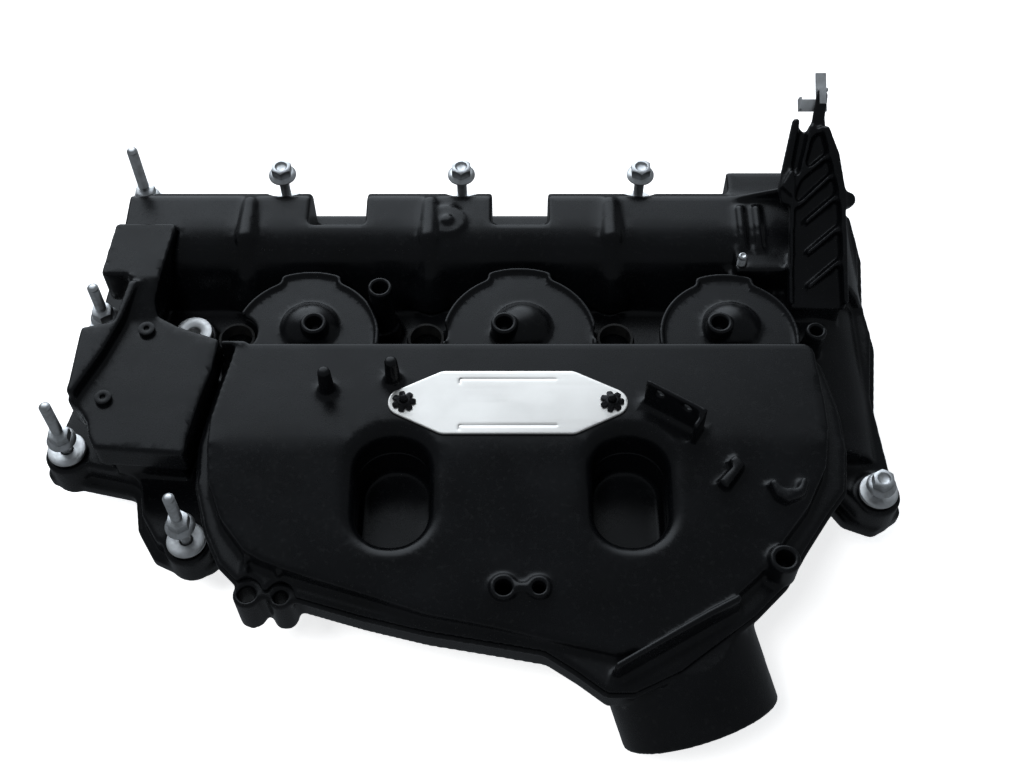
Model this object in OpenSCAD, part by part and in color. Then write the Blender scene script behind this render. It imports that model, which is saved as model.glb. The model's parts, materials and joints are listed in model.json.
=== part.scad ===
// Valve cover with built-in intake plenum for one bank of a three-cylinder-per-bank V engine.
// X runs along the crankshaft, Y across the head towards the exhaust side, Z up.
// The origin is on the axis of the middle injector bore, on the gasket plane.

/* [Engine] */
// Distance between neighbouring cylinders
pitch = 99; // [97:0.5:101]
// Diameter of the three injector bores
injector_d = 16.4; // [14:0.2:17]

/* [Base moulding] */
// Thickness of the gasket flange
flange_t = 8; // [7:0.5:9]
// Height of the deck between the cam box and the plenum
deck_z = 22; // [20:1:24]
// Height of the cam box above the gasket plane
cam_z = 60; // [58:1:62]
// General wall thickness of the mouldings
wall = 4; // [3:0.5:4.5]

/* [Plenum] */
// Height of the weld line between the lower and the upper shell
weld_z = 45; // [44:0.5:46]
// Height of the flat back part of the upper shell
plenum_z = 65; // [63:0.5:66]
// Outer diameter of the inlet spigot
inlet_d = 78; // [74:1:80]
// Wall of the inlet spigot
inlet_wall = 3.5; // [3:0.5:4]

/* [Breather box] */
// Height of the flat lid of the breather box
box_z = 58; // [56:0.5:59]
// Height of the raised block at its back
block_z = 64; // [63:0.5:66]

/* [Fasteners] */
// Thread diameter of bolts and studs
thread_d = 5.8; // [5.4:0.1:6]
// Width across flats of the hexagons
hex_af = 10; // [9:0.5:10]
// Diameter of the flange under a hexagon
collar_d = 15; // [13:0.5:15]
// Diameter of the head of a sleeve
sleeve_head_d = 20; // [18:0.5:20]

/* [Nameplate] */
// Length of the nameplate from tip to tip
plate_l = 119; // [110:1:121]
// Width of the nameplate
plate_w = 37; // [34:1:39]

/* [Hidden] */
$fn = 64;

black = [0.10, 0.10, 0.11];
zinc = [0.78, 0.79, 0.80];
bright = [0.92, 0.92, 0.92];
rubber = [0.16, 0.16, 0.17];

banks = [-1, 0, 1];
eps = 0.01;

// Fasteners: x, y, height of the sleeve's top, how far the fastener stands up from its seat
back_y = 100;
mid_bolt_x = 17;
bolt_left = [mid_bolt_x - pitch, back_y, 40, 24];
bolt_mid = [mid_bolt_x, back_y, 40, 24];
bolt_rear = [mid_bolt_x + pitch, back_y, 40, 24];
bolt_end = [231, -78, 27, 5];
stud_back = [-161, 100, 40, 5];
stud_side = [-185.4, -53, 26, 9];
stud_front = [-117.6, -104, 24, 14];
stud_mid = [-174, 21, 32, 7];
rim_places = [bolt_left, bolt_mid, bolt_rear, bolt_end,
              stud_back, stud_side, stud_front, stud_mid];
spare = [-126, 14, 36, 0];
places = concat(rim_places, [spare]);
column_r = 12;
grommet_r = 7.5;
sleeve_r = 4.5;
sleeve_bore = 3.3;
sleeve_head_t = 1.8;
column_drop = 4;
// How far a seated fastener reaches below the gasket plane
reach = 22;

// Runner caps: x of the centre, radius of the round part, x of the hollow boss
caps = [[-62, 38, -57], [49, 40.5, 41], [158, 36.5, 152]];
cap_y = -3;
cap_cut = -8.7;
arch_y = 38.5;
cap_z = 52;
cap_t = 3;
cap_lobe = 4;
cap_dome_r = 18.4;
cap_dome_z = 45.1;
cap_dome_y = 4;
cap_boss_z = 66;
cap_boss_y = -1;
cap_boss_r = 6.8;
cap_bore_r = 4.2;
port_d = 26;
port_x = [-82, 0, 99];
port_y = -36;
flange_lip = 4;
well_r = 11.3;
baffle_y = 54;
baffle_post_top = cam_z - 6;
baffle_screw_x = [-130, -50, 50, 140];
stud_small = [168, 44];
rear_boss = [202, -3];
disc = [9.7, 71];
post = [-24, 21];
post_r = 6.5;
post_bore_r = 4.2;
// Twin bosses: x, y, radius of the hole, radius of the boss
front_bosses = [[-80, -143, 4.2, 6.8], [-64, -144.5, 3.4, 6]];
top_bosses = [[41, -146, 4, 6.4], [57.5, -146, 3.2, 5.6]];
right_boss = [172, -133];
right_boss_r = 7.4;
right_boss_bore = 4.4;
bracket_pos = [109.5, -50];
bracket_turn = -32;
recess_x = [-13, 102];
recess_y = -95;
recess_wall = 3;

// Inlet spigot: middle of its open end, and the way it points (turn about Z, then dip)
mouth = [136, -188, -4];
mouth_turn = 22;
mouth_dip = 31;
inlet_l = 40;
inlet_bore_r = inlet_d / 2 - inlet_wall;
inlet_bore_l = 28;
inlet_step = 1;

// Nameplate and its two pegs
plate_pos = [43, -49.6];
peg_x = 51.5;
plate_t = 1.2;
peg_r = 2.2;

module rounded(r) {
    offset(r = r) offset(r = -2 * r) offset(r = r) children();
}

module slab(z0, z1) {
    translate([0, 0, z0]) linear_extrude(z1 - z0) children();
}

module rod(x, y, z0, z1, r) {
    translate([x, y, z0]) cylinder(h = z1 - z0, r = r);
}

module ring(x, y, z0, z1, r_out, r_in) {
    difference() {
        rod(x, y, z0, z1, r_out);
        rod(x, y, z0 - 1, z1 + 1, r_in);
    }
}

// ---- outlines ----

module base_outline() {
    rounded(5) polygon([
        [-200, -60], [-151, -71], [-147, -91], [-137, -107], [-123, -113.5], [-108, -113],
        [-99, -104], [-98, -62], [200, -62], [216, -86], [231, -92], [246, -82], [243, -45],
        [241, -19], [247, 22], [244, 50], [248, 84], [246, 110],
        [130, 112], [-150, 112], [-177, 102], [-188, 86], [-186, 60], [-188, 34],
        [-186, 10], [-194, -31]]);
}

module deck_outline() {
    offset(delta = -5) base_outline();
}

// Base outline without the ground taken by the bolt columns at the rim
module inside_columns(w) {
    offset(delta = -w) difference() {
        base_outline();
        for (p = rim_places) translate([p[0], p[1]]) circle(r = 10);
    }
}

module box_outline() {
    rounded(2.5) polygon([
        [-176, -3], [-160, 1], [-155, 27], [-157, 31], [-172, 31], [-169, 66], [-136, 66],
        [-142, 18], [-140, 9], [-128, 2], [-106, -6], [-107.5, -24], [-111.5, -42], [-115.5, -66],
        [-115.5, -75], [-161, -71], [-164.5, -64], [-166.5, -56], [-171, -49.5], [-178, -44]]);
}

// Raised block at the back, with the ramp that runs down from it to the lid
module block_outline() {
    rounded(2.5) polygon([[-172, 31], [-169, 66], [-136, 66], [-142, 18], [-141, 3], [-158, 3],
                          [-155, 27], [-157, 31]]);
}

module terrace_outline() {
    polygon([[-176, -4], [-160, 0], [-156, 26], [-151, 26], [-156, 2], [-163, -19],
             [-174, -44], [-177, -43]]);
}

module plenum_outline() {
    rounded(4) polygon([
        [-98, -13], [202, -13], [208, -42], [209, -66], [206, -88], [196, -101],
        [183, -120], [172, -138], [157, -153], [121, -180], [100, -190], [89, -190],
        [76, -180], [61, -170], [42, -166.5], [5, -160], [-25, -152.5], [-55, -143.5],
        [-82, -137], [-92, -127], [-100, -111], [-107.5, -86], [-109, -64], [-106, -42],
        [-102, -22]]);
}

// Part of the plenum that stands above the weld flange
module crown_outline() {
    rounded(6) polygon([
        [-96, -13], [198, -13], [200, -40], [200.5, -62], [197, -84], [187, -104],
        [173, -122], [161, -138], [143, -154], [124, -166], [94, -176.5], [72, -171.5],
        [36, -163], [5, -157], [-26, -147], [-57, -137.5], [-72, -132], [-81.5, -126.5],
        [-93.5, -111], [-101.5, -91], [-103.5, -74], [-104, -60], [-101, -42], [-97, -22]]);
}

// Height profile of the plenum's crown, seen along X: [y, z]
module crown_profile(drop) {
    polygon([[-9, weld_z], [-13 - drop, plenum_z - drop], [-72, plenum_z - drop],
             [-150, plenum_z - 9 - drop], [-178, plenum_z - 13 - drop], [-200, weld_z]]);
}

module recess_outline(grow) {
    for (x = recess_x)
        translate([x, recess_y]) offset(r = grow) rounded(17) square([36, 56], center = true);
}

// Runner cap: a round plate with a wider lobe at its back, cut off by the plenum
module cap_outline(c, grow) {
    translate([c[0], cap_y]) intersection() {
        offset(r = grow) rounded(3) union() {
            circle(r = c[1]);
            intersection() {
                circle(r = c[1] + cap_lobe);
                polygon([[0, 0], [-26, 60], [26, 60]]);
            }
        }
        translate([-60, cap_cut - cap_y]) square([120, 60]);
    }
}

// Ground that the plenum takes above the deck, clear of the injector wells
module plenum_zone() {
    difference() {
        offset(delta = flange_lip + 0.2) plenum_outline();
        wells();
    }
}

module wells() {
    for (b = banks) translate([b * pitch, 0]) circle(r = well_r);
}

// Cam box seen along X: [y, z]
module cam_profile(t) {
    offset(delta = -t) polygon([
        [96, 0], [96, cam_z - 8], [93, cam_z - 3], [88, cam_z], [66, cam_z],
        [60, cam_z - 0.8], [54, cam_z - 2.8], [49, cam_z - 6.5], [45.5, cam_z - 12],
        [42.5, cam_z - 20], [39.5, cam_z - 30], [37, deck_z - 4], [37, 0]]);
}

module along_x(x0, x1) {
    translate([x0, 0, 0]) rotate([90, 0, 90]) linear_extrude(x1 - x0) children();
}

module along_y(y0, y1) {
    translate([0, y1, 0]) rotate([90, 0, 0]) linear_extrude(y1 - y0) children();
}

// Arched end over the chain drive, seen along Y: [x, z]
module arch_profile(t) {
    offset(delta = -t) polygon(concat(
        [[165, -20]], [[165, cam_z - 2]],
        [for (a = [90:-10:0]) [198 + 43 * cos(a), 6 + (cam_z - 8) * sin(a)]],
        [[241, -20]]));
}

module apron_profile(t) {
    offset(delta = -t) polygon(concat(
        [[186, -20], [186, 40]],
        [for (a = [80:-10:0]) [200 + 38 * cos(a), 6 + 34 * sin(a)]],
        [[238, -20]]));
}

// ---- base moulding ----

module cam_notches() {
    for (x = [-66, 34])
        translate([x, 69, deck_z + 6]) cube([31, 60, 80]);
}

// Fingers across the cam box, narrow at the top and swelling towards their feet
module cam_columns() {
    for (b = banks)
        hull() {
            translate([b * pitch, 84, cam_z - 3]) sphere(r = 5.5, $fn = 24);
            translate([b * pitch, 60, cam_z - 2.5]) sphere(r = 6.5, $fn = 24);
            translate([b * pitch, 49, cam_z - 20]) sphere(r = 10, $fn = 24);
            translate([b * pitch, 47, deck_z + 4]) cylinder(h = 8, r1 = 14.5, r2 = 13, $fn = 32);
        }
}

module base_solid() {
    slab(0, flange_t) base_outline();
    slab(flange_t - eps, deck_z) deck_outline();
    // cam box
    difference() {
        along_x(-166, 205) cam_profile(0);
        cam_notches();
    }
    cam_columns();
    // arched end and apron
    intersection() {
        along_y(arch_y, 108) arch_profile(0);
        slab(0, 100) offset(delta = -2) base_outline();
    }
    intersection() {
        along_y(-60, 40) apron_profile(0);
        slab(0, 100) offset(delta = -2) base_outline();
    }
    // wall under the breather box
    slab(deck_z - eps, 41) offset(delta = -6) box_outline();
    // walls of the runner pedestals
    for (c = caps)
        slab(deck_z - eps, cap_z) difference() {
            cap_outline(c, -1);
            wells();
        }
    for (p = places)
        rod(p[0], p[1], 0, p[2] - column_drop, column_r);
    for (b = banks)
        rod(b * pitch, 0, 0, 47, 11);
    rod(post[0], post[1], deck_z - eps, 67, post_r);
    rod(post[0], post[1], deck_z - eps, 34, post_r + 2.5);
    rod(rear_boss[0], rear_boss[1], 20, 62, 5.5);
    // web that rises along the back of the cam box to the tower
    along_y(86, 89) polygon([[160, cam_z - 4], [206, cam_z - 4], [206, 76], [190, 67], [166, cam_z]]);
    rod(stud_small[0], stud_small[1], deck_z - eps, 50, 7);
    // disc with a pip on the cam box
    rod(disc[0], disc[1], cam_z - 4, cam_z + 1.2, 9.8);
    rod(disc[0], disc[1], cam_z, cam_z + 2.4, 2.4);
    // pair of ridges over the cam box, above the small stud
    intersection() {
        for (x = [168, 177]) along_x(x, x + 3.2) cam_profile(-2.4);
        translate([160, 46, cam_z - 30]) cube([30, 34, 60]);
    }
    tower();
}

// Ribbed bracket that leans back over the cam box. Its outlines lie in the leaning plane, with
// their first number along X and their second up the slope.
tower_base = [203, 24, 52];
tower_lean = 28;
tower_l = 112;
tower_rib = 1.3;
tower_ribs = [[-1, 84.9, 7.6, 91.1], [-6.8, 62.3, 9.8, 76.2], [-5.5, 49.6, 12.6, 66.3],
              [-3.4, 39.3, 15, 54.9], [-2.3, 23, 17, 39], [-2.3, 5, 17, 21]];
module tower() {
    translate(tower_base) rotate([tower_lean, 0, 0]) {
        linear_extrude(3) polygon([
            [-12, -6], [-11.6, 16], [-10.4, 48], [-9.5, 57], [-6.1, 64], [-1.2, 83.5], [1, 93],
            [2.3, 94], [4.3, 104], [6, tower_l], [12, tower_l], [10.9, 104], [9.8, 98],
            [10.2, 91], [15.5, 76], [18, 58], [18.6, 25], [18.6, -6]]);
        // flange along the right edge, and the thin frame at the left
        linear_extrude(11) polygon([
            [6.9, 91], [10.3, 76], [13.6, 61], [15.6, 48], [16, -4], [18.6, -4], [18.6, 25],
            [18, 58], [15.5, 76], [10.2, 91]]);
        linear_extrude(8) polygon([
            [1, 93], [-1.2, 83.5], [-6.1, 64], [-9.5, 57], [-10.4, 48], [-11.6, 16], [-12, -4],
            [-10, -4], [-9.6, 16], [-8.4, 47.6], [-7.6, 56.2], [-4.2, 63.3], [0.8, 83], [2.9, 92.6]]);
        for (q = tower_ribs)
            linear_extrude(8) polygon([[q[0], q[1] - tower_rib], [q[0], q[1] + tower_rib],
                                       [q[2], q[3] + tower_rib], [q[2], q[3] - tower_rib]]);
        // blade beside the panel, the web between them and the wedge at its foot
        linear_extrude(6) polygon([[-7.6, 96.5], [-4, 96.5], [-9.8, 68.4], [-9.4, 50], [-14.5, 50],
                                   [-16.4, 59]]);
        linear_extrude(2.4) polygon([[-2.9, 91], [-5.2, 91], [-9.8, 68], [-9.8, 52], [-4, 62], [1, 84]]);
        linear_extrude(10) polygon([[-9, 70], [-15.6, 59], [-9, 53]]);
        rod(20, 52, 0, 9, 4);
    }
    // foot: two gussets and a front wall
    for (x = [194, 216])
        along_x(x, x + 4) polygon([[20, 31], [48, 31], [48, 65], [22, 52]]);
    translate([194, 19.5, 31]) cube([26, 4, 21]);
}

module base_hollows() {
    slab(-1, deck_z - wall) inside_columns(13);
    difference() {
        along_x(-166 + wall, 205 - wall) intersection() {
            cam_profile(wall);
            translate([0, flange_t]) square([200, 100]);
        }
        for (x = [-66 - wall, 34 - wall])
            translate([x, 69 - wall, deck_z + 6 - wall]) cube([31 + 2 * wall, 60, 80]);
        for (p = places) rod(p[0], p[1], -1, 80, column_r + 2);
    }
    intersection() {
        along_y(arch_y + wall, 108 - wall) arch_profile(wall);
        slab(flange_t, 100) offset(delta = -14) base_outline();
        translate([205 - wall, 0, 0]) cube([60, 200, 100]);
    }
    intersection() {
        along_y(-60 + wall, 40 - wall) apron_profile(wall);
        slab(flange_t, 100) offset(delta = -14) base_outline();
    }
    for (c = caps)
        slab(deck_z, cap_z + 1) offset(delta = -wall) difference() {
            cap_outline(c, -1);
            wells();
        }
    slab(deck_z, 42) offset(delta = -10) box_outline();
}

module base_keep() {
    for (p = places) rod(p[0], p[1], 0, p[2] - column_drop, column_r);
    for (b = banks) rod(b * pitch, 0, 0, 47, 11);
    for (x = port_x) rod(x, port_y, 0, deck_z, port_d / 2 + 5);
    rod(stud_small[0], stud_small[1], deck_z - wall, 50, 7);
    for (x = baffle_screw_x) rod(x, baffle_y, 28, baffle_post_top, 4);
}

module gasket_path() {
    difference() {
        inside_columns(5);
        inside_columns(9);
    }
}

module cover_base() {
    color(black) difference() {
        union() {
            difference() {
                base_solid();
                base_hollows();
            }
            base_keep();
        }
        for (p = places) {
            rod(p[0], p[1], -1, 100, grommet_r);
            rod(p[0], p[1], p[2] - column_drop, 100, sleeve_head_d / 2 + 0.6);
        }
        for (b = banks) {
            rod(b * pitch, 0, -1, 60, injector_d / 2);
            rod(b * pitch, 0, 42, 60, 9.4);
        }
        for (x = port_x) {
            rod(x, port_y, -1, deck_z + 1, port_d / 2);
            rod(x, port_y, -1, 3, port_d / 2 + 3);
        }
        rod(post[0], post[1], 40, 80, post_bore_r);
        rod(rear_boss[0], rear_boss[1], 44, 80, 3.2);
        rod(stud_small[0], stud_small[1], 36, 80, 2.5);
        for (x = baffle_screw_x) rod(x, baffle_y, 27, 38, 1.5);
        slab(-1, 3) gasket_path();
        slab(41, 100) box_outline();
        slab(deck_z, 100) plenum_zone();
    }
}

// ---- plenum ----

// Places its children at the open end of the spigot, with their +Z leaving it
module at_mouth() {
    translate(mouth) rotate([0, 0, mouth_turn]) rotate([90 + mouth_dip, 0, 0]) children();
}

// Straight spigot with a round elbow at its inner end
module spigot(r) {
    at_mouth() translate([0, 0, -inlet_l]) {
        cylinder(h = inlet_l, r = r);
        sphere(r = r);
    }
}

module plenum_lower_shell() {
    color(black) difference() {
        union() {
            slab(weld_z - 3, weld_z) difference() {
                offset(delta = flange_lip) plenum_outline();
                wells();
            }
            slab(deck_z, weld_z) plenum_outline();
            // twin boss at the front left
            for (q = front_bosses) rod(q[0], q[1], deck_z - 3, weld_z, q[3]);
            translate([-80, -145, deck_z]) cube([16, 8, weld_z - deck_z]);
            intersection() {
                spigot(inlet_d / 2);
                translate([-300, -300, -60]) cube([600, 600, 60 + weld_z]);
                translate([-300, -300, -60]) cube([600, 300 - 66, 200]);
            }
        }
        difference() {
            slab(deck_z + wall, weld_z + 1) offset(delta = -wall) plenum_outline();
            for (q = front_bosses) rod(q[0], q[1], 0, 60, q[3]);
            slab(0, 60) recess_outline(recess_wall);
        }
        slab(deck_z + wall, 60) recess_outline(0);
        difference() {
            intersection() {
                spigot(inlet_bore_r - inlet_step);
                translate([-300, -300, -60]) cube([600, 300 - 70, 60 + weld_z - 3]);
            }
            slab(0, 60) recess_outline(recess_wall);
        }
        at_mouth() translate([0, 0, -inlet_bore_l]) cylinder(h = inlet_bore_l + 1, r = inlet_bore_r);
        for (x = port_x) rod(x, port_y, 10, 40, port_d / 2);
        for (q = front_bosses) rod(q[0], q[1], 0, 60, q[2]);
    }
}

module fin() {
    slab(weld_z, 63) polygon([[91, -187.5], [135, -162], [150, -154], [150, -150],
                              [134, -158.6], [91, -184.2]]);
}

module plenum_upper_shell() {
    color(black) difference() {
        union() {
            slab(weld_z, weld_z + 3) difference() {
                offset(delta = flange_lip - 1.5) plenum_outline();
                wells();
            }
            intersection() {
                slab(weld_z, 80) crown_outline();
                along_x(-120, 210) crown_profile(0);
            }
            fin();
            rod(right_boss[0], right_boss[1], weld_z, 63, right_boss_r);
            // twin boss with web near the front
            translate([0, 0, weld_z + 2]) linear_extrude(13) {
                for (q = top_bosses) translate([q[0], q[1]]) circle(r = q[3]);
                translate([41, -148]) square([16.5, 4]);
            }
            // webs above the front bosses, and the upright tab at the left back corner
            for (x = [-82, -66])
                translate([x, -137, weld_z]) cube([1.8, 9, 8]);
            translate([-104, -13.7, weld_z]) cube([13, 2.1, 20.5]);
            // two tapered pegs
            for (q = [[-47, -42], [-14.5, -36]])
                translate([q[0], q[1], plenum_z - 1]) cylinder(h = 19, r1 = 4.2, r2 = 3.2);
            // upright bracket with a return at its right end
            translate([bracket_pos[0], bracket_pos[1], plenum_z - 2]) rotate([0, 0, bracket_turn]) {
                cube([33, 2.6, 22]);
                translate([30.4, -8, 0]) cube([2.6, 10, 20]);
            }
            // pegs of the nameplate
            for (s = [-1, 1])
                rod(plate_pos[0] + s * peg_x, plate_pos[1], plenum_z - 1, plenum_z + 7, peg_r);
            // snap prongs
            slab(weld_z + 8, 69) {
                polygon([[143, -95], [147, -99.5], [157, -86], [153, -80.5], [149, -84], [151, -87]]);
                polygon([[167, -95], [171, -94], [174, -99], [181, -99], [183, -93], [187, -94],
                         [184, -102], [175, -106], [170, -103]]);
            }
        }
        difference() {
            intersection() {
                slab(weld_z - 1, 80) offset(delta = -wall) crown_outline();
                union() {
                    along_x(-120, 210) crown_profile(wall);
                    slab(weld_z - 1, weld_z + 1) crown_outline();
                }
            }
            slab(weld_z - 2, 80) recess_outline(recess_wall);
        }
        slab(weld_z - 2, 80) recess_outline(0);
        for (q = top_bosses) rod(q[0], q[1], weld_z + 6, 80, q[2]);
        for (q = front_bosses) rod(q[0], q[1], weld_z - 1, 80, q[3] + 0.4);
        rod(right_boss[0], right_boss[1], weld_z + 3, 80, right_boss_bore);
        translate([bracket_pos[0], bracket_pos[1], plenum_z + 15]) rotate([0, 0, bracket_turn])
            for (x = [8, 23]) translate([x, 5, 0]) rotate([90, 0, 0]) cylinder(h = 10, r = 2.2);
    }
}

module runner_cap(c) {
    color(black) difference() {
        union() {
            slab(cap_z, cap_z + cap_t) cap_outline(c, 0);
            slab(cap_z, cap_z + cap_t + 1.8) difference() {
                cap_outline(c, 0);
                cap_outline(c, -2);
            }
            intersection() {
                translate([c[0] + 1.5, cap_dome_y, cap_dome_z]) sphere(r = cap_dome_r);
                slab(cap_z, 90) cap_outline(c, -3);
            }
            rod(c[2], cap_boss_y, cap_z, cap_boss_z, cap_boss_r);
        }
        rod(c[2], cap_boss_y, cap_z + 4, 80, cap_bore_r);
        slab(0, 100) wells();
    }
}
module runner_cap_left() { runner_cap(caps[0]); }
module runner_cap_middle() { runner_cap(caps[1]); }
module runner_cap_right() { runner_cap(caps[2]); }

// ---- breather box ----

module breather_box_cover() {
    color(black) difference() {
        union() {
            slab(41, box_z) box_outline();
            intersection() {
                slab(box_z - 1, block_z) block_outline();
                along_x(-180, -130) polygon([[70, 50], [70, block_z], [29, block_z],
                                             [3, box_z - 0.5], [3, 50]]);
            }
            slab(box_z - 1, box_z + 8) terrace_outline();
        }
        slab(40, box_z - wall) offset(delta = -4) box_outline();
        for (q = plugs) rod(q[0], q[1], box_z - 10, box_z + 1, 2);
    }
}

plugs = [[-144, -1], [-160, -43]];
module box_plugs() {
    color(black) for (q = plugs) {
        rod(q[0], q[1], box_z - 6, box_z, 2);
        difference() {
            rod(q[0], q[1], box_z, box_z + 2.4, 4.2);
            rod(q[0], q[1], box_z + 1, box_z + 4, 1.5);
        }
    }
}

module separator_baffle() {
    color(black) {
        slab(41, 43) offset(delta = -4.3) box_outline();
        for (y = [-60:12:-12])
            translate([-150, y, 43 - eps]) cube([26, 1.6, 9]);
    }
}

// ---- underside ----

module oil_baffle_plate() {
    color([0.2, 0.2, 0.21]) difference() {
        translate([-150, 45, 26]) cube([310, 18, 2]);
        for (x = baffle_screw_x) rod(x, baffle_y, 20, 30, 2.2);
        for (b = banks) rod(b * pitch + 26, baffle_y, 20, 30, 6);
    }
}

module baffle_screws() {
    color(zinc) for (x = baffle_screw_x) {
        rod(x, baffle_y, 24, 26, 4);
        rod(x, baffle_y, 26 - eps, 37, 1.5);
    }
}

module cover_gasket() {
    color(rubber) slab(0, 3) gasket_path();
}

module injector_seals() {
    color(rubber) for (b = banks) ring(b * pitch, 0, 42, 50, 9.4, injector_d / 2);
}

module port_seals() {
    color(rubber) for (x = port_x) ring(x, port_y, 0, 3, port_d / 2 + 3, port_d / 2);
}

// ---- captive fasteners ----

module bolt_sleeves() {
    color(bright) for (p = places) {
        ring(p[0], p[1], 0, p[2], sleeve_r, sleeve_bore);
        ring(p[0], p[1], p[2] - sleeve_head_t, p[2], sleeve_head_d / 2, sleeve_r - eps);
    }
}

module bolt_grommets() {
    color(rubber) for (p = places) {
        ring(p[0], p[1], 2, p[2] - sleeve_head_t, grommet_r, sleeve_r);
        ring(p[0], p[1], p[2] - column_drop, p[2] - sleeve_head_t, sleeve_head_d / 2 - 1, sleeve_r);
    }
}

module hexagon(x, y, z0, h) {
    translate([x, y, z0]) cylinder(h = h, d = hex_af / cos(30), $fn = 6);
}

// Shank, flange and hexagon; a stud has a thread above the hexagon as well
module fastener(p, stud_h) {
    seat = p[2] + p[3];
    tip_z = p[3] - reach;
    color(zinc) difference() {
        union() {
            rod(p[0], p[1], tip_z + 1, seat + eps, thread_d / 2);
            translate([p[0], p[1], tip_z]) cylinder(h = 1 + eps, r1 = thread_d / 2 - 1, r2 = thread_d / 2);
            rod(p[0], p[1], seat, seat + 1.6, collar_d / 2);
            hexagon(p[0], p[1], seat + 1.6 - eps, 6);
            if (stud_h > 0) rod(p[0], p[1], seat + 7, seat + stud_h, thread_d / 2);
        }
        if (stud_h == 0) rod(p[0], p[1], seat + 6, seat + 9, hex_af / 2 - 2);
    }
}
module bolt_back_left() { fastener(bolt_left, 0); }
module bolt_back_middle() { fastener(bolt_mid, 0); }
module bolt_back_right() { fastener(bolt_rear, 0); }
module bolt_right() { fastener(bolt_end, 0); }
module stud_back_left() { fastener(stud_back, 40); }
module stud_left() { fastener(stud_side, 33); }
module stud_front_left() { fastener(stud_front, 30); }
module stud_mid_left() { fastener(stud_mid, 28); }

module cap_stud() {
    color(zinc) rod(stud_small[0], stud_small[1], 36, 64, 2.5);
}

// ---- nameplate and clips ----

module nameplate() {
    color(bright) translate([plate_pos[0], plate_pos[1], plenum_z]) difference() {
        linear_extrude(plate_t) offset(r = 8) offset(delta = -8) polygon([
            [-plate_l / 2, 5], [-plate_l / 2, -5], [-33, -plate_w / 2], [33, -plate_w / 2],
            [plate_l / 2, -5], [plate_l / 2, 5], [33, plate_w / 2], [-33, plate_w / 2]]);
        for (s = [-1, 1])
            translate([s * peg_x, 0, -1]) cylinder(h = 4, r = peg_r);
    }
}

module push_nuts() {
    color(black) for (s = [-1, 1])
        translate([plate_pos[0] + s * peg_x, plate_pos[1], plenum_z + plate_t]) difference() {
            union() {
                linear_extrude(1) for (a = [0:45:135])
                    rotate(a) square([12, 2.6], center = true);
                cylinder(h = 2.4, r = 4);
            }
            translate([0, 0, -1]) cylinder(h = 6, r = peg_r);
        }
}

module bracket_clip() {
    color(bright) translate(tower_base) rotate([tower_lean, 0, 0]) {
        translate([5.8, tower_l - 10, -1.2]) cube([5.6, 21, 1.2]);
        translate([6.8, tower_l - 7, 3]) cube([3.6, 8.5, 1.2]);
        translate([5.8, tower_l, -eps]) cube([5.6, 1.5, 4.2]);
        translate([-4, tower_l - 10, -1.2]) cube([9.8 + eps, 6.5, 1.2]);
        translate([-4, tower_l - 10, -eps]) cube([1.2, 6.5, 4.5]);
    }
}

cover_base();
plenum_lower_shell();
plenum_upper_shell();
runner_cap_left();
runner_cap_middle();
runner_cap_right();
breather_box_cover();
separator_baffle();
oil_baffle_plate();
baffle_screws();
cover_gasket();
injector_seals();
port_seals();
bolt_sleeves();
bolt_grommets();
bolt_back_left();
bolt_back_middle();
bolt_back_right();
bolt_right();
stud_back_left();
stud_left();
stud_front_left();
stud_mid_left();
cap_stud();
nameplate();
push_nuts();
bracket_clip();
box_plugs();
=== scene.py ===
"""Looks of the valve cover: moulded plastic, plated fasteners, nameplate, studio."""

import math

import bmesh
import bpy
import numpy as np
import openvdb
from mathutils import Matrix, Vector
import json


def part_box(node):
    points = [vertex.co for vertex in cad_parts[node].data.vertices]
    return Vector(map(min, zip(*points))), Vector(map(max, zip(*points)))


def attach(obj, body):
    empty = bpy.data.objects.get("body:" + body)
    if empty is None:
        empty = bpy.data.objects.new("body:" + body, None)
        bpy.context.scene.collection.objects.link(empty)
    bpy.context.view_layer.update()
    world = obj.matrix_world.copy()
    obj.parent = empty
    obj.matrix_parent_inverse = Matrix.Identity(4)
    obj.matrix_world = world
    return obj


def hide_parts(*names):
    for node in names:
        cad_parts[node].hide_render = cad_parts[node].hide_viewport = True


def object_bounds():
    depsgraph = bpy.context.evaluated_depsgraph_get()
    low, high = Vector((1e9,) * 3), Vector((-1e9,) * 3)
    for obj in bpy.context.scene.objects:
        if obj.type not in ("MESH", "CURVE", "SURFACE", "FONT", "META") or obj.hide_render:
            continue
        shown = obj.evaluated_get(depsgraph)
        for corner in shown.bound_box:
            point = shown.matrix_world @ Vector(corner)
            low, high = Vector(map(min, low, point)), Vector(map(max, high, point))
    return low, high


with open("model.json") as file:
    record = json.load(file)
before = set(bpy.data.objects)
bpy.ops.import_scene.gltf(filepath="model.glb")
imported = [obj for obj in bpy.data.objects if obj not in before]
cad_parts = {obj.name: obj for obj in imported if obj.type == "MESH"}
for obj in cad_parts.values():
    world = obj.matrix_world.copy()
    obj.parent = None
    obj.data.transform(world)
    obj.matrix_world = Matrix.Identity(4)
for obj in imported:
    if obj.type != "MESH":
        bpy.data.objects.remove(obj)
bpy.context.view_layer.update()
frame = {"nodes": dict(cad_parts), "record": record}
MM = 0.001


# ---- node helpers for materials ----


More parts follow.
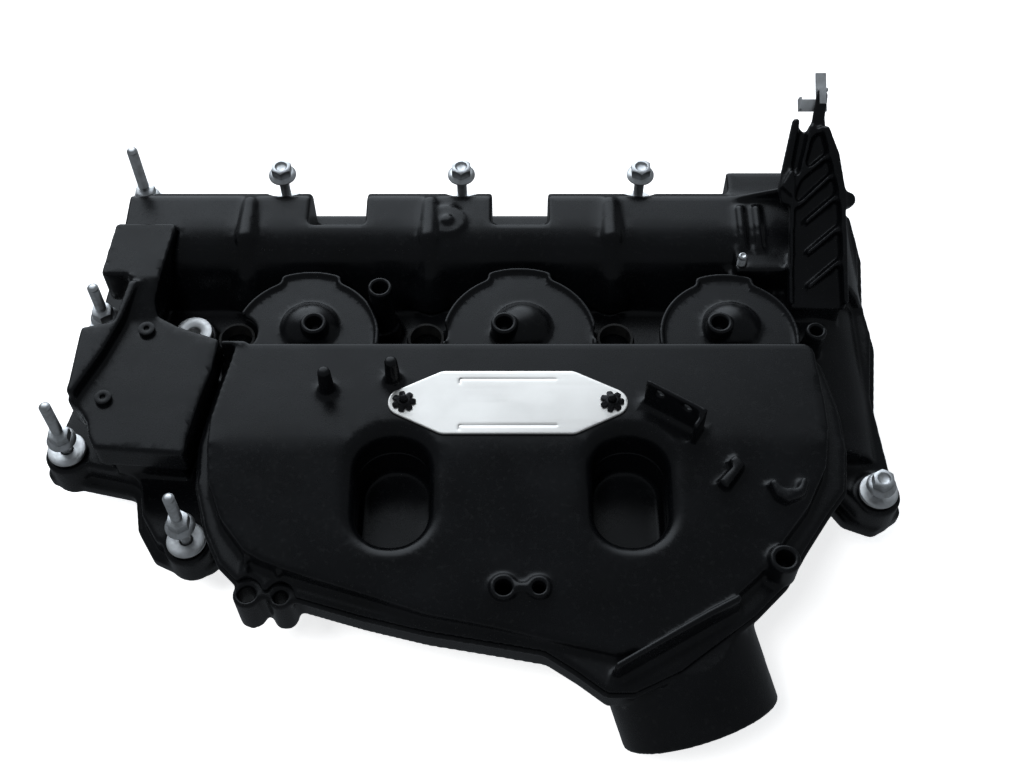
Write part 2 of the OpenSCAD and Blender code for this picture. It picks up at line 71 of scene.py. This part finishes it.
class Shader:
    """A material being put together node by node."""

    def __init__(self, name):
        self.material = bpy.data.materials.new(name)
        self.material.use_nodes = True
        self.tree = self.material.node_tree
        self.bsdf = self.tree.nodes["Principled BSDF"]
        place = self.tree.nodes.new("ShaderNodeTexCoord")
        self.place = place.outputs["Object"]

    def set(self, **values):
        for key, value in values.items():
            self.bsdf.inputs[key.replace("_", " ")].default_value = value

    def link(self, output, socket):
        self.tree.links.new(output, socket)

    def noise(self, size_mm, detail=3.0, stretch=(1, 1, 1)):
        """Noise whose blotches are about size_mm across."""
        mapping = self.tree.nodes.new("ShaderNodeMapping")
        mapping.inputs["Scale"].default_value = stretch
        self.link(self.place, mapping.inputs["Vector"])
        noise = self.tree.nodes.new("ShaderNodeTexNoise")
        noise.inputs["Scale"].default_value = 1 / (size_mm * MM)
        noise.inputs["Detail"].default_value = detail
        self.link(mapping.outputs["Vector"], noise.inputs["Vector"])
        return noise.outputs["Fac"]

    def spread(self, source, low, high, start=0.3, end=0.7):
        """source mapped from start..end to low..high."""
        node = self.tree.nodes.new("ShaderNodeMapRange")
        node.inputs["From Min"].default_value = start
        node.inputs["From Max"].default_value = end
        node.inputs["To Min"].default_value = low
        node.inputs["To Max"].default_value = high
        self.link(source, node.inputs["Value"])
        return node.outputs["Result"]

    def mix(self, factor, first, second):
        node = self.tree.nodes.new("ShaderNodeMix")
        node.data_type = "RGBA"
        for index, value in ((6, first), (7, second)):
            if isinstance(value, tuple):
                node.inputs[index].default_value = (*value, 1)
            else:
                self.link(value, node.inputs[index])
        self.link(factor, node.inputs[0])
        return node.outputs[2]

    def math(self, operation, a, b):
        node = self.tree.nodes.new("ShaderNodeMath")
        node.operation = operation
        for socket, value in zip(node.inputs, (a, b)):
            if isinstance(value, (int, float)):
                socket.default_value = value
            else:
                self.link(value, socket)
        return node.outputs[0]

    def edges(self, start, end):
        """How much a point lies on a worn outer edge, 0 to 1."""
        geometry = self.tree.nodes.new("ShaderNodeNewGeometry")
        return self.spread(geometry.outputs["Pointiness"], 0.0, 1.0, start, end)

    def bump(self, height, distance_mm, strength=1.0):
        node = self.tree.nodes.new("ShaderNodeBump")
        node.inputs["Distance"].default_value = distance_mm * MM
        node.inputs["Strength"].default_value = strength
        self.link(height, node.inputs["Height"])
        previous = self.bsdf.inputs["Normal"].links
        if previous:
            self.link(previous[0].from_socket, node.inputs["Normal"])
        self.link(node.outputs["Normal"], self.bsdf.inputs["Normal"])

    def colour(self, output):
        self.link(output, self.bsdf.inputs["Base Color"])

    def roughness(self, output):
        self.link(output, self.bsdf.inputs["Roughness"])


def moulded_plastic(name):
    """Black glass-filled nylon: fine grain, flow marks, rubbed edges, a little dust."""
    dark, light = (0.0030, 0.0034, 0.0042), (0.0065, 0.0072, 0.0088)
    s = Shader(name)
    s.set(IOR=1.5, Specular_IOR_Level=0.42)
    flow = s.noise(38, 4, (1, 1.6, 1))
    dust = s.noise(2.2, 5)
    rubbed = s.edges(0.53, 0.62)
    base = s.mix(s.spread(flow, 0, 1), dark, light)
    base = s.mix(s.spread(dust, 0.0, 0.10, 0.58, 0.74), base, (0.06, 0.06, 0.06))
    base = s.mix(s.math("MULTIPLY", rubbed, 0.35), base, (0.03, 0.032, 0.036))
    s.colour(base)
    patches = s.spread(s.noise(24, 5), 0.22, 0.31)
    s.roughness(s.math("ADD", patches, s.spread(dust, 0.0, 0.08, 0.5, 0.75)))
    s.bump(s.noise(0.55, 2), 0.035, 0.5)
    s.bump(s.noise(22, 2), 0.22, 0.3)
    return s.material


def plated_steel(name, tint=(0.82, 0.83, 0.84), stained=(0.60, 0.60, 0.59), rough=(0.36, 0.52)):
    """Zinc plating: cloudy, faintly crystalline, duller in blotches."""
    s = Shader(name)
    s.set(Metallic=1.0)
    clouds = s.noise(3.5, 6)
    s.colour(s.mix(s.spread(clouds, 0, 1, 0.42, 0.75), tint, stained))
    s.roughness(s.spread(s.noise(1.6, 5), *rough))
    s.bump(s.noise(0.5, 3), 0.03, 0.6)
    return s.material


def soft_rubber(name):
    s = Shader(name)
    s.set(IOR=1.45)
    s.colour(s.mix(s.spread(s.noise(4, 4), 0, 1), (0.010, 0.010, 0.011), (0.028, 0.028, 0.027)))
    s.roughness(s.spread(s.noise(2, 4), 0.62, 0.85))
    s.bump(s.noise(0.4, 2), 0.05, 0.5)
    return s.material


def brushed_plate(name):
    """Plain aluminium sheet, brushed lengthways."""
    s = Shader(name)
    s.set(Metallic=1.0, Anisotropic=0.4)
    lines = s.noise(6, 5, (0.12, 26, 1))
    clouds = s.noise(14, 4)
    s.colour(s.mix(s.spread(clouds, 0, 1), (1.0, 0.97, 0.93), (0.95, 0.92, 0.88)))
    s.roughness(s.spread(lines, 0.36, 0.52))
    s.bump(lines, 0.012, 0.5)
    return s.material


def spring_steel(name):
    """Phosphated spring steel, nearly black."""
    s = Shader(name)
    s.set(Metallic=0.8)
    s.colour(s.mix(s.spread(s.noise(1.5, 5), 0, 1), (0.020, 0.020, 0.022), (0.055, 0.055, 0.058)))
    s.roughness(s.spread(s.noise(0.9, 4), 0.35, 0.55))
    s.bump(s.noise(0.3, 2), 0.02, 0.5)
    return s.material


MATERIALS = {
    "moulding": moulded_plastic("moulding"),
    "seal_rubber": soft_rubber("seal_rubber"),
    "zinc_steel": plated_steel("zinc_steel"),
    "bright_steel": plated_steel("bright_steel", (0.97, 0.97, 0.97), (0.84, 0.84, 0.83), (0.42, 0.56)),
    "black_steel": spring_steel("black_steel"),
    "plate_aluminium": brushed_plate("plate_aluminium"),
}
SLOT_OF = {part["node"]: part["material_slot"] for part in frame["record"]["subparts"]}
BODIES = frame["record"]["behaviour"]["bodies"]
BODY_OF = {node: body for body, nodes in BODIES.items() for node in nodes}


# ---- making and placing pieces ----


def piece(name, mesh, node, slot=None, smooth=True, hide=True):
    """Puts a new mesh in the scene, on the body of a CAD node, in that node's finish."""
    thing = bpy.data.objects.new(name, mesh)
    bpy.context.scene.collection.objects.link(thing)
    slot = slot or SLOT_OF[node]
    mesh.materials.clear()
    mesh.materials.append(MATERIALS[slot])
    if smooth:
        mesh.polygons.foreach_set("use_smooth", [True] * len(mesh.polygons))
    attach(thing, BODY_OF[node])
    if hide:
        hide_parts(node)
    return thing


def apply_modifiers(thing):
    """Turns a piece's modifiers into mesh."""
    graph = bpy.context.evaluated_depsgraph_get()
    graph.update()
    made = bpy.data.meshes.new_from_object(thing.evaluated_get(graph))
    thing.modifiers.clear()
    thing.data = made


def arrays(mesh):
    mesh.calc_loop_triangles()
    points = np.empty(len(mesh.vertices) * 3, np.float32)
    mesh.vertices.foreach_get("co", points)
    triangles = np.empty(len(mesh.loop_triangles) * 3, np.int32)
    mesh.loop_triangles.foreach_get("vertices", triangles)
    return points.reshape(-1, 3), triangles.reshape(-1, 3)


def level_set(points, triangles, quads, voxel, half):
    """Signed distance to a closed mesh, right up to half voxels from its surface."""
    options = {"transform": openvdb.createLinearTransform(voxelSize=voxel), "halfWidth": half}
    if triangles is not None:
        options["triangles"] = triangles
    if quads is not None:
        options["quads"] = quads
    return openvdb.FloatGrid.createLevelSetFromPolygons(points, **options)


def mesh_of(name, points, triangles, quads):
    """A Blender mesh from the points and faces that a level set gives."""
    counts = [3] * len(triangles) + [4] * len(quads)
    corners = np.concatenate([triangles[:, ::-1].ravel(), quads[:, ::-1].ravel()])
    mesh = bpy.data.meshes.new(name)
    mesh.vertices.add(len(points))
    mesh.vertices.foreach_set("co", points.astype(np.float32).ravel())
    mesh.loops.add(len(corners))
    mesh.loops.foreach_set("vertex_index", corners.astype(np.int32))
    mesh.polygons.add(len(counts))
    starts = np.cumsum([0] + counts[:-1])
    mesh.polygons.foreach_set("loop_start", starts.astype(np.int32))
    mesh.update(calc_edges=True)
    mesh.validate()
    return mesh


def joined(meshes):
    """The points and triangles of several meshes as one list each."""
    parts = [arrays(m) for m in meshes]
    starts = np.cumsum([0] + [len(p) for p, _ in parts[:-1]])
    points = np.concatenate([p for p, _ in parts])
    triangles = np.concatenate([t + s for (_, t), s in zip(parts, starts)])
    return points, triangles


def carve(grid, cutter, voxel, half):
    """Takes a closed mesh away from a level set."""
    tool = level_set(*joined([cutter]), None, voxel, half)
    low, high = tool.evalActiveVoxelBoundingBox()
    size = [h - l + 1 for l, h in zip(low, high)]
    body = np.empty(size, np.float32)
    away = np.empty(size, np.float32)
    grid.copyToArray(body, ijk=low)
    tool.copyToArray(away, ijk=low)
    grid.copyFromArray(np.maximum(body, -away), ijk=low)


def moulded_mesh(name, meshes, cutters, voxel, fillet, edge):
    """One solid from several closed meshes, as a mould leaves it: inner corners are filled to
    radius fillet and outer edges are rounded to radius edge. All sizes in metres."""
    margin = 1.6
    points, triangles = joined(meshes)
    half = fillet / voxel + margin
    grid = level_set(points, triangles, None, voxel, half)
    for cutter in cutters:
        carve(grid, cutter, voxel, half)
    points, quads = grid.convertToQuads(isovalue=fillet)
    grid = level_set(points, None, quads, voxel, (fillet + edge) / voxel + margin)
    points, quads = grid.convertToQuads(isovalue=-(fillet + edge))
    grid = level_set(points, None, quads, voxel, edge / voxel + margin)
    points, triangles, quads = grid.convertToPolygons(isovalue=edge, adaptivity=0.02)
    return mesh_of(name, points, triangles, quads)


def moulded(node, voxel_mm=0.8, fillet_mm=1.4, edge_mm=0.8, more=(), cutters=()):
    """The CAD node as a moulding, with more closed meshes melted in and others cut away."""
    meshes = [frame["nodes"][node].data, *more]
    sizes = (voxel_mm * MM, fillet_mm * MM, edge_mm * MM)
    return piece(node + "_moulding", moulded_mesh(node + "_moulding", meshes, cutters, *sizes), node)


# ---- rounded rims of the recesses ----


def rounded_rectangle(half_x, half_y, corner, steps=10):
    """Points of a rectangle with round corners, about its centre."""
    points = []
    for quarter, (side_x, side_y) in enumerate(((1, 1), (-1, 1), (-1, -1), (1, -1))):
        for k in range(steps + 1):
            angle = math.pi / 2 * (quarter + k / steps)
            x = side_x * (half_x - corner) + corner * math.cos(angle)
            y = side_y * (half_y - corner) + corner * math.sin(angle)
            points.append((x, y))
    return points


def lofted(name, rings):
    """A closed mesh through rings of points, in millimetres."""
    mesh = bpy.data.meshes.new(name)
    shape = bmesh.new()
    loops = [[shape.verts.new([value * MM for value in point]) for point in ring] for ring in rings]
    shape.faces.new(loops[0][::-1])
    shape.faces.new(loops[-1])
    for lower, upper in zip(loops, loops[1:]):
        for k in range(len(lower)):
            n = (k + 1) % len(lower)
            shape.faces.new([lower[k], lower[n], upper[n], upper[k]])
    shape.to_mesh(mesh)
    shape.free()
    return mesh


def recess_rims():
    """Cutters that turn the rims of the two recesses over, following the slope of the crown."""
    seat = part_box("nameplate")[0].z / MM
    steps = 8

    def ring(x, y, grow, depth):
        outline = rounded_rectangle(RECESS[0] + grow, RECESS[1] + grow, RECESS_CORNER + grow)
        fall = [max(0, CROWN_BREAK - (y + b)) * CROWN_SLOPE for _, b in outline]
        return [(x + a, y + b, seat - drop - depth) for (a, b), drop in zip(outline, fall)]

    cutters = []
    for x, y in RECESS_PLACES:
        rings = [ring(x, y, 0, RIM_R + 2)]
        for k in range(steps + 1):
            turn = math.pi / 2 * k / steps
            rings.append(ring(x, y, RIM_R * (1 - math.cos(turn)), RIM_R * (1 - math.sin(turn))))
        rings.append(ring(x, y, RIM_R, -6))
        cutters.append(lofted("rim", rings))
    return cutters


# ---- turned pieces ----


def turned_mesh(name, rows, steps=48, place=(0, 0), close=True):
    """A mesh of revolution about the vertical through place. Each row is (radius, z) or a function
    of the angle that gives (radius, z), in millimetres. Radius 0 closes an end."""
    mesh = bpy.data.meshes.new(name)
    shape = bmesh.new()
    rings = []
    for row in rows:
        at = row if callable(row) else (lambda angle, row=row: row)
        radius, z = at(0)
        if radius == 0:
            rings.append([shape.verts.new((place[0] * MM, place[1] * MM, z * MM))])
            continue
        ring = []
        for k in range(steps):
            angle = 2 * math.pi * k / steps
            radius, z = at(angle)
            x = place[0] + radius * math.cos(angle)
            y = place[1] + radius * math.sin(angle)
            ring.append(shape.verts.new((x * MM, y * MM, z * MM)))
        rings.append(ring)
    if not close:
        rings.append(rings[0])
    for lower, upper in zip(rings, rings[1:]):
        for k in range(steps):
            n = (k + 1) % steps
            corners = [lower[k % len(lower)], lower[n % len(lower)]]
            corners += [upper[n % len(upper)], upper[k % len(upper)]]
            corners = list(dict.fromkeys(corners))
            if len(corners) > 2:
                shape.faces.new(corners)
    bmesh.ops.recalc_face_normals(shape, faces=shape.faces)
    shape.to_mesh(mesh)
    shape.free()
    return mesh


def thread_rows(z0, z1, radius, pitch=1.0, depth=0.42):
    """Rows of a screw thread from z0 to z1, with a run-out at both ends."""
    rows_per_turn = 7

    def row(z):
        ends = min(1.0, (z - z0) / pitch, (z1 - z) / pitch)

        def at(angle):
            phase = (z / pitch - angle / (2 * math.pi)) % 1
            groove = 1 - min(1, abs(phase - 0.5) * 2 / 0.85)
            return radius - depth * groove * max(0, ends), z

        return at

    count = max(2, round((z1 - z0) / pitch * rows_per_turn))
    return [row(z0 + (z1 - z0) * k / count) for k in range(count + 1)]


def hexagon_rows(z0, z1, flats, chamfer_at=0.94, dish=0.0):
    """Rows of a hexagon with a chamfered crown and, for a bolt, a shallow dish in its end."""
    inner = flats / 2

    def reach(angle):
        return inner / math.cos((angle + math.pi / 6) % (math.pi / 3) - math.pi / 6)

    def crown(angle):
        r = reach(angle)
        return r, z1 - max(0, r - inner * chamfer_at) * math.tan(math.radians(32))

    def foot(angle):
        return reach(angle) - 0.15, z0

    rows = [foot, lambda angle: (reach(angle), z0 + 0.2), crown, (inner * chamfer_at, z1)]
    if dish:
        rows += [(inner * 0.68, z1), (inner * 0.58, z1 - dish * 0.7)]
        rows += [(inner * 0.4, z1 - dish), (0, z1 - dish)]
    return rows


def crisp(mesh, degrees=38):
    """Smooth shading that keeps the real edges."""
    mesh.polygons.foreach_set("use_smooth", [True] * len(mesh.polygons))
    mesh.set_sharp_from_angle(angle=math.radians(degrees))


def fastener(node):
    """Bolt or stud bolt with a flange: its seat, axis and ends are measured on the CAD node."""
    points, _ = arrays(frame["nodes"][node].data)
    points = points / MM
    low, high = points.min(0), points.max(0)
    x, y = (low[0] + high[0]) / 2, (low[1] + high[1]) / 2
    reach = np.hypot(points[:, 0] - x, points[:, 1] - y)
    flange_r = reach.max()
    seat = points[reach > flange_r - 0.3][:, 2].min()
    thread_r = reach[points[:, 2] < seat - 3].max()
    tip, top = low[2], high[2]
    hex_top = seat + HEX_HEIGHT + FLANGE_EDGE
    rows = [(0, tip), (thread_r * 0.62, tip), (thread_r * 0.72, tip + 0.6), (thread_r * 0.98, tip + 1.3)]
    rows += thread_rows(tip + 1.3, tip + 17, thread_r)
    rows += [(thread_r * 0.93, tip + 17.6), (thread_r * 0.93, seat - 1.2), (thread_r, seat - 0.6)]
    rows += [(thread_r + 0.5, seat), (flange_r - 0.3, seat), (flange_r, seat + 0.3)]
    rows += [(flange_r, seat + 0.9), (flange_r - 0.4, seat + 1.25)]
    rows += [(HEX_FLATS / 2 + 1.0, seat + FLANGE_EDGE + 0.5)]
    if top - hex_top > 3:
        rows += hexagon_rows(seat + FLANGE_EDGE + 0.7, hex_top, HEX_FLATS)
        rows += [(thread_r + 0.7, hex_top), (thread_r * 0.88, hex_top + 0.5)]
        rows += [(thread_r * 0.88, hex_top + 2.4)]
        rows += thread_rows(hex_top + 2.6, top - 1.2, thread_r)
        rows += [(thread_r * 0.74, top - 0.5), (thread_r * 0.62, top - 0.2)]
        rows += [(thread_r * 0.5, top), (0, top)]
    else:
        rows += hexagon_rows(seat + FLANGE_EDGE + 0.7, hex_top, HEX_FLATS, dish=1.1)
    mesh = turned_mesh(node + "_turned", rows, place=(x, y))
    thing = piece(node + "_turned", mesh, node)
    crisp(mesh)
    return thing


def sleeves_and_grommets():
    """Washer-headed sleeves with rolled edges, and the rubber rings below their heads."""
    for node, make in (("bolt_sleeves", sleeve_rows), ("bolt_grommets", grommet_rows)):
        meshes = [turned_mesh(node, make(z), place=(x, y), close=False) for x, y, z in sleeve_places()]
        points, triangles = joined(meshes)
        mesh = mesh_of(node + "_turned", points, triangles[:, ::-1], np.empty((0, 4), np.int32))
        piece(node + "_turned", mesh, node)
        crisp(mesh, 50)


def sleeve_places():
    """(x, y, height of the head) of each sleeve, in millimetres."""
    points, _ = arrays(frame["nodes"]["bolt_sleeves"].data)
    points = points / MM
    groups = []
    for point in points:
        for group in groups:
            if math.dist(point[:2], group[0][:2]) < 21:
                group.append(point)
                break
        else:
            groups.append([point])
    boxes = [(np.min(group, 0), np.max(group, 0)) for group in groups]
    return [((a[0] + b[0]) / 2, (a[1] + b[1]) / 2, b[2]) for a, b in boxes]


def sleeve_rows(top):
    bore, tube, head = 3.3, 4.5, 10.0
    return [
        (bore, 0.4), (bore + 0.3, 0), (tube - 0.2, 0), (tube, 0.3), (tube, top - 1.8),
        (head - 0.5, top - 1.8), (head - 0.1, top - 1.6), (head, top - 1.2), (head, top - 0.7),
        (head - 0.15, top - 0.25), (head - 0.6, top), (tube + 1.0, top - 0.05),
        (tube + 0.4, top - 0.3), (bore + 0.5, top - 0.3), (bore + 0.1, top - 0.6), (bore, top - 1.0),
    ]


def grommet_rows(top):
    inner, outer, lip = 4.5, 7.5, 9.0
    return [
        (inner, 2), (outer - 0.4, 2), (outer, 2.6), (outer, top - 4), (lip - 0.3, top - 4),
        (lip, top - 3.7), (lip, top - 3.2), (lip - 0.35, top - 2.9), (lip, top - 2.6),
        (lip, top - 2.1), (lip - 0.3, top - 1.8), (inner, top - 1.8),
    ]


def cap_stud():
    """The small stud: thread all the way up, with a slot-free dished end."""
    low, high = [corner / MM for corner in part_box("cap_stud")]
    x, y, radius = (low.x + high.x) / 2, (low.y + high.y) / 2, (high.x - low.x) / 2
    rows = [(0, low.z), (radius, low.z), *thread_rows(low.z + 4, high.z - 1, radius, 0.8, 0.34)]
    rows += [(radius * 0.8, high.z - 0.2), (radius * 0.6, high.z)]
    rows += [(radius * 0.35, high.z - 0.4), (0, high.z - 0.5)]
    mesh = turned_mesh("cap_stud_turned", rows, 40, (x, y))
    piece("cap_stud_turned", mesh, "cap_stud")
    crisp(mesh)


# ---- sheet metal and small mouldings ----


def softened(node, width_mm, segments=2, sharp=40):
    """A copy of a CAD node with its edges bevelled."""
    mesh = frame["nodes"][node].data.copy()
    shape = bmesh.new()
    shape.from_mesh(mesh)
    bmesh.ops.remove_doubles(shape, verts=shape.verts, dist=2e-6)
    for edge in shape.edges:
        edge.smooth = True
    shape.to_mesh(mesh)
    shape.free()
    thing = piece(node + "_sheet", mesh, node)
    bevel = thing.modifiers.new("bevel", "BEVEL")
    bevel.width = width_mm * MM
    bevel.segments = segments
    bevel.limit_method = "ANGLE"
    bevel.angle_limit = math.radians(sharp)
    apply_modifiers(thing)
    crisp(thing.data, 30)
    return thing


def bar(name, corners, width, z0, z1):
    """Closed square bars along a line of points, from height z0 to z1, all in millimetres."""
    mesh = bpy.data.meshes.new(name)
    shape = bmesh.new()
    for start, end in zip(corners, corners[1:]):
        start, end = Vector(start), Vector(end)
        along = (end - start).normalized()
        side = Vector((-along.y, along.x)) * width / 2
        grow = along * width / 2
        base = [start - grow - side, end + grow - side, end + grow + side, start - grow + side]
        lower = [shape.verts.new((p.x * MM, p.y * MM, z0 * MM)) for p in base]
        upper = [shape.verts.new((p.x * MM, p.y * MM, z1 * MM)) for p in base]
        shape.faces.new(lower[::-1])
        shape.faces.new(upper)
        for k in range(4):
            n = (k + 1) % 4
            shape.faces.new([lower[k], lower[n], upper[n], upper[k]])
    shape.to_mesh(mesh)
    shape.free()
    return mesh


def nameplate():
    """Blank plate with two thin engraved lines, each turned down or up at its left end."""
    low, high = [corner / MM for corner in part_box("nameplate")]
    centre = (low + high) / 2
    left, right, width, depth = centre.x - 24, centre.x + 24, 0.5, 0.35
    lines = []
    for side in (1, -1):
        y = centre.y + side * 13.5
        route = [(right, y), (left, y), (left, y - 2.6)]
        lines.append(bar("engraving", route, width, high.z - depth, high.z + 1))
    plate = [frame["nodes"]["nameplate"].data]
    mesh = moulded_mesh("nameplate_sheet", plate, lines, 0.25 * MM, 0.05 * MM, 0.25 * MM)
    piece("nameplate_sheet", mesh, "nameplate")


def push_nuts():
    """Domed spring nuts with seven teeth, one on each peg of the nameplate."""
    low, high = [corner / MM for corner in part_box("push_nuts")]
    y, z = (low.y + high.y) / 2, low.z
    meshes = []
    teeth = 7
    for x in (low.x + 6, high.x - 6):

        def rim(scale, height):
            def at(angle):
                wave = abs((angle * teeth / (2 * math.pi)) % 1 - 0.5) * 2
                return scale * (3.7 + 2.3 * min(1, wave * 1.8)), z + height - 0.5 * wave
            return at

        rows = [(2.25, z + 1.5), (2.25, z + 2.2), (3.0, z + 2.1), (3.5, z + 1.4)]
        rows += [rim(0.97, 1.15), rim(1.0, 0.95), rim(1.0, 0.65), rim(0.97, 0.5), (3.0, z + 0.9)]
        meshes.append(turned_mesh("push_nut", rows, 84, (x, y), close=False))
    points, triangles = joined(meshes)
    mesh = mesh_of("push_nuts_sheet", points, triangles[:, ::-1], np.empty((0, 4), np.int32))
    piece("push_nuts_sheet", mesh, "push_nuts")
    crisp(mesh, 40)


HEX_FLATS = 10.0
HEX_HEIGHT = 6.0
FLANGE_EDGE = 1.6

# Middles, half sizes and corner radius of the recesses, radius of their rims, the crown's fall
RECESS_PLACES = ((-13, -95), (102, -95))
RECESS = (18, 28)
RECESS_CORNER = 17
RIM_R = 8
CROWN_BREAK = -72
CROWN_SLOPE = 9 / 78

VOXEL = 0.8
moulded("cover_base", VOXEL, 1.6, 0.6)
moulded("plenum_lower_shell", VOXEL, 1.6, 0.9)
moulded("plenum_upper_shell", VOXEL, 1.6, 0.9, cutters=recess_rims())
for side in ("left", "middle", "right"):
    moulded(f"runner_cap_{side}", 0.5, 1.0, 0.6)
moulded("breather_box_cover", VOXEL, 1.6, 0.9)
for side in ("back_left", "back_middle", "back_right", "right"):
    fastener(f"bolt_{side}")
for side in ("back_left", "left", "front_left", "mid_left"):
    fastener(f"stud_{side}")
sleeves_and_grommets()
cap_stud()
nameplate()
push_nuts()
softened("bracket_clip", 0.35)
softened("box_plugs", 0.4)


# ---- nodes that stay as the CAD made them ----

for name, node in frame["nodes"].items():
    node.data.materials.clear()
    node.data.materials.append(MATERIALS[SLOT_OF[name]])


# ---- studio ----


def studio_floor(z):
    mesh = bpy.data.meshes.new("floor")
    shape = bmesh.new()
    bmesh.ops.create_grid(shape, x_segments=1, y_segments=1, size=6)
    bmesh.ops.translate(shape, verts=shape.verts, vec=(0, 0, z))
    shape.to_mesh(mesh)
    shape.free()
    floor = bpy.data.objects.new("floor", mesh)
    bpy.context.scene.collection.objects.link(floor)
    s = Shader("floor")
    s.colour(s.mix(s.spread(s.noise(300, 2), 0, 1), (0.90, 0.90, 0.90), (0.93, 0.93, 0.93)))
    s.roughness(s.spread(s.noise(120, 3), 0.6, 0.75))
    glow = s.bsdf.inputs["Emission Color"]
    glow.default_value = (1, 1, 1, 1)
    s.bsdf.inputs["Emission Strength"].default_value = 0.76
    mesh.materials.append(s.material)
    floor.visible_glossy = False


def area_light(name, place, target, size, power):
    """A soft box of size (across, up) that looks at target."""
    data = bpy.data.lights.new(name, "AREA")
    data.shape = "RECTANGLE"
    data.size, data.size_y = size
    data.energy = power
    lamp = bpy.data.objects.new(name, data)
    lamp.location = place
    lamp.rotation_euler = (Vector(target) - Vector(place)).to_track_quat("-Z", "Y").to_euler()
    lamp.visible_glossy = False
    bpy.context.scene.collection.objects.link(lamp)


def studio_world(target, core, edge):
    """Dark room with one large bright screen in the direction target: full brightness within
    core degrees of its middle, falling to the room's own dimness at edge degrees."""
    world = bpy.data.worlds.new("studio")
    world.use_nodes = True
    tree = world.node_tree
    place = tree.nodes.new("ShaderNodeTexCoord")
    dot = tree.nodes.new("ShaderNodeVectorMath")
    dot.operation = "DOT_PRODUCT"
    dot.inputs[1].default_value = Vector(target).normalized()
    tree.links.new(place.outputs["Generated"], dot.inputs[0])
    fall = tree.nodes.new("ShaderNodeMapRange")
    fall.interpolation_type = "SMOOTHSTEP"
    fall.inputs["From Min"].default_value = math.cos(math.radians(edge))
    fall.inputs["From Max"].default_value = math.cos(math.radians(core))
    fall.inputs["To Min"].default_value = ROOM
    fall.inputs["To Max"].default_value = SCREEN
    tree.links.new(dot.outputs["Value"], fall.inputs["Value"])
    tree.links.new(fall.outputs["Result"], tree.nodes["Background"].inputs["Strength"])
    tree.nodes["Background"].inputs["Color"].default_value = (0.86, 0.93, 1.0, 1)
    bpy.context.scene.world = world


ROOM = 0.2
SCREEN = 2.3
low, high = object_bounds()
studio_floor(low[2] - 0.0002)
middle = Vector((0.03, 0.0, 0.03))
studio_world((-0.22, 0.88, 0.48), 14, 42)
area_light("key_box", (-0.5, -0.7, 1.9), middle, (0.5, 0.4), 14)

bpy.context.scene.view_settings.view_transform = "Standard"
bpy.context.scene.view_settings.gamma = 0.85

CAMERA_PITCH = math.radians(57)
CAMERA_PLACE = (0.045, -0.4191, 0.6513)
lens = bpy.data.cameras.new("camera")
lens.lens = 49.2
lens.sensor_width = 36
lens.clip_start = 0.05
camera = bpy.data.objects.new("camera", lens)
camera.location = CAMERA_PLACE
camera.rotation_euler = (math.pi / 2 - CAMERA_PITCH, 0, 0)
bpy.context.scene.collection.objects.link(camera)
bpy.context.scene.camera = camera
